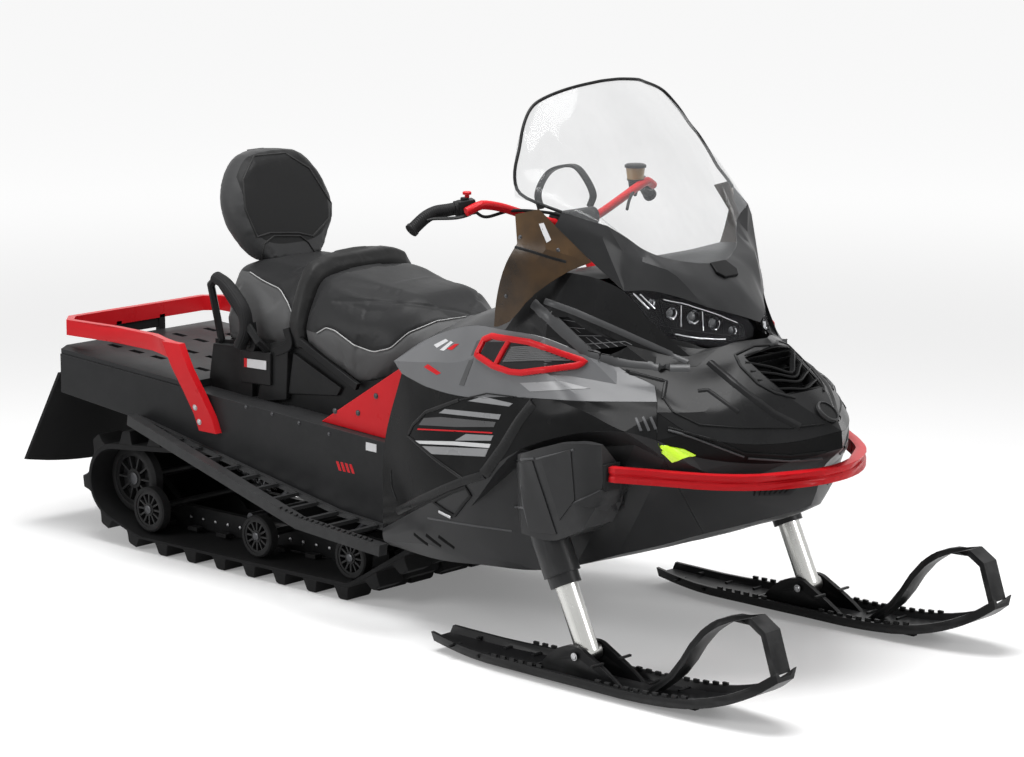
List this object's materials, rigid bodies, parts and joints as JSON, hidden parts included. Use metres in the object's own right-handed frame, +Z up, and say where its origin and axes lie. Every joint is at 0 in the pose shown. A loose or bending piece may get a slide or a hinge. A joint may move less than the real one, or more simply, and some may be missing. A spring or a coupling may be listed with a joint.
{
  "type": "two-seat utility snowmobile",
  "caption": "Two-seat utility snowmobile on a wide rubber track with two steered skis on telescopic legs, windshield, backrest and a railed rear deck.",
  "frame": {"origin": "on the floor below the middle of the machine's length and width", "axes": "+X forward, +Y to the rider's left, +Z up"},
  "size_m": [2.94, 1.076, 1.4357],
  "materials": {
    "black_plastic": "moulded matte black plastic",
    "dark_plastic": "moulded satin dark grey plastic",
    "grey_plastic": "painted mid grey plastic",
    "red_paint": "glossy red coat",
    "tunnel_paint": "satin black anodised sheet",
    "rubber": "matte moulded rubber",
    "dark_metal": "dark powder coat",
    "silver_metal": "satin silver",
    "seat_vinyl": "grained seat vinyl",
    "lamp_glass": "clear lens",
    "screen": "clear smoked screen",
    "amber_screen": "smoked amber plastic"
  },
  "bodies": {
    "chassis": {"backrest": "seat_vinyl", "belly_pan": "dark_plastic", "cowl": "dark_plastic", "dash": "black_plastic", "deflector_left": "amber_screen", "deflector_right": "amber_screen", "drive_axle": "black_plastic", "driver_seat": "seat_vinyl", "engine": "dark_metal", "frame_plate_left": "red_paint", "frame_plate_right": "red_paint", "front_arm": "dark_metal", "front_bumper": "red_paint", "front_lip": "black_plastic", "front_wheels": "black_plastic", "headlight_left": "lamp_glass", "headlight_right": "lamp_glass", "hood": "black_plastic", "leg_sleeve_left": "black_plastic", "leg_sleeve_right": "black_plastic", "lower_side_left": "dark_plastic", "lower_side_right": "dark_plastic", "middle_wheels": "black_plastic", "nose_grille": "black_plastic", "passenger_seat": "seat_vinyl", "rear_arm": "dark_metal", "rear_axle": "black_plastic", "rear_deck": "dark_plastic", "rear_rail": "red_paint", "running_board_left": "dark_metal", "running_board_right": "dark_metal", "seat_arch": "black_plastic", "seat_base": "black_plastic", "shoulder_left": "dark_plastic", "shoulder_right": "dark_plastic", "shroud_left": "black_plastic", "shroud_right": "black_plastic", "side_panel_left": "grey_plastic", "side_panel_right": "grey_plastic", "slide_rail_left": "dark_metal", "slide_rail_right": "dark_metal", "snow_flap": "rubber", "tail_wheels": "black_plastic", "tank_cover": "black_plastic", "track": "rubber", "tunnel": "tunnel_paint", "vent_frame_left": "red_paint", "vent_frame_right": "red_paint", "windshield": "screen"},
    "handlebar": {"handlebar": "red_paint", "control_right": "black_plastic", "control_left": "black_plastic"},
    "leg_right": {"leg_right": "silver_metal"},
    "leg_left": {"leg_left": "silver_metal"},
    "ski_right": {"ski_right": "black_plastic"},
    "ski_left": {"ski_left": "black_plastic"}
  },
  "joints": [
    {"name": "steering", "type": "hinge", "parent": "chassis", "child": "handlebar", "pos_m": [0.42, 0, 1.055], "axis": [-0.5, 0, 0.866], "range_deg": [-28, 28]},
    {"name": "leg_right_steer", "type": "hinge", "parent": "chassis", "child": "leg_right", "pos_m": [0.862, -0.45, 0.078], "axis": [-0.4226, 0, 0.9063], "range_deg": [-24, 24]},
    {"name": "leg_left_steer", "type": "hinge", "parent": "chassis", "child": "leg_left", "pos_m": [0.862, 0.45, 0.078], "axis": [-0.4226, 0, 0.9063], "range_deg": [-24, 24]},
    {"name": "ski_right_pitch", "type": "hinge", "parent": "leg_right", "child": "ski_right", "pos_m": [0.862, -0.45, 0.078], "axis": [0, 1, 0], "range_deg": [-10, 10]},
    {"name": "ski_left_pitch", "type": "hinge", "parent": "leg_left", "child": "ski_left", "pos_m": [0.862, 0.45, 0.078], "axis": [0, 1, 0], "range_deg": [-10, 10]}
  ],
  "couplings": [
    {"joint": "leg_right_steer", "follows": "steering", "ratio": 0.85},
    {"joint": "leg_left_steer", "follows": "steering", "ratio": 0.85}
  ]
}
